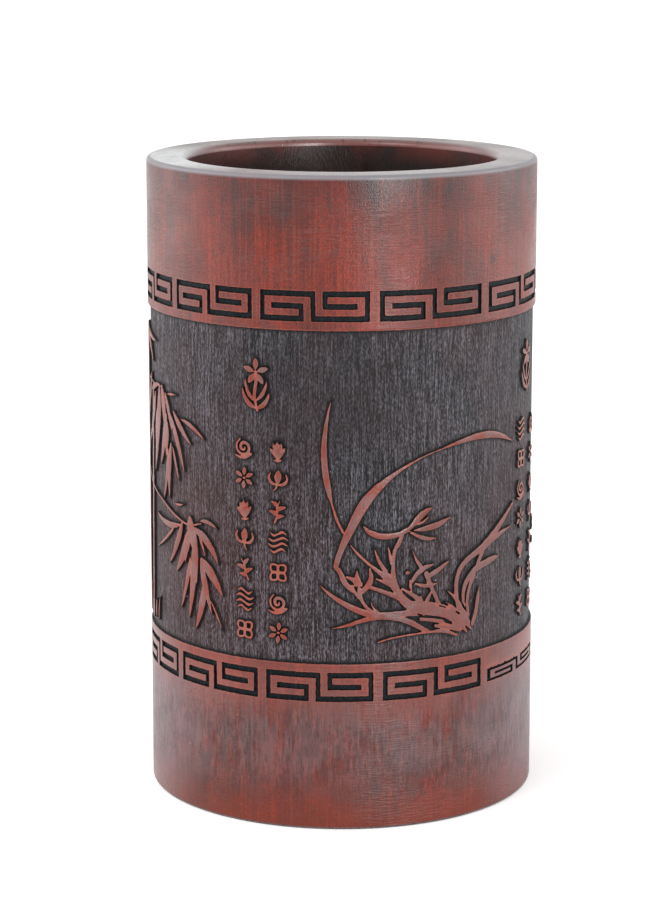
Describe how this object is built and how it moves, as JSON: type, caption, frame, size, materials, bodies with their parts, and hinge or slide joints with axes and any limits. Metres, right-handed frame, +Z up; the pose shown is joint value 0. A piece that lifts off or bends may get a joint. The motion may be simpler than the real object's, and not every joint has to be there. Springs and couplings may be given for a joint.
{
  "type": "brush holder pot",
  "caption": "Cylindrical carved bamboo pot with a thick wall, meander borders round a recessed picture field, and a let-in base; holds writing brushes upright.",
  "frame": {"origin": "centre of the foot ring, in the plane the pot stands on", "axes": "+Z up along the culm's axis towards the mouth; -Y towards the side with the arching-leaf panel"},
  "size_m": [0.0916, 0.0916, 0.15],
  "materials": {
    "stained_bamboo": "red-brown stained bamboo skin, semi-gloss, with scorched dark engraving",
    "base_wood": "satin dark stained softwood",
    "glue": "cured amber adhesive, semi-gloss"
  },
  "bodies": {
    "root": {"bamboo_wall": "stained_bamboo", "base_disc": "base_wood", "base_glue_line": "glue"}
  },
  "joints": []
}
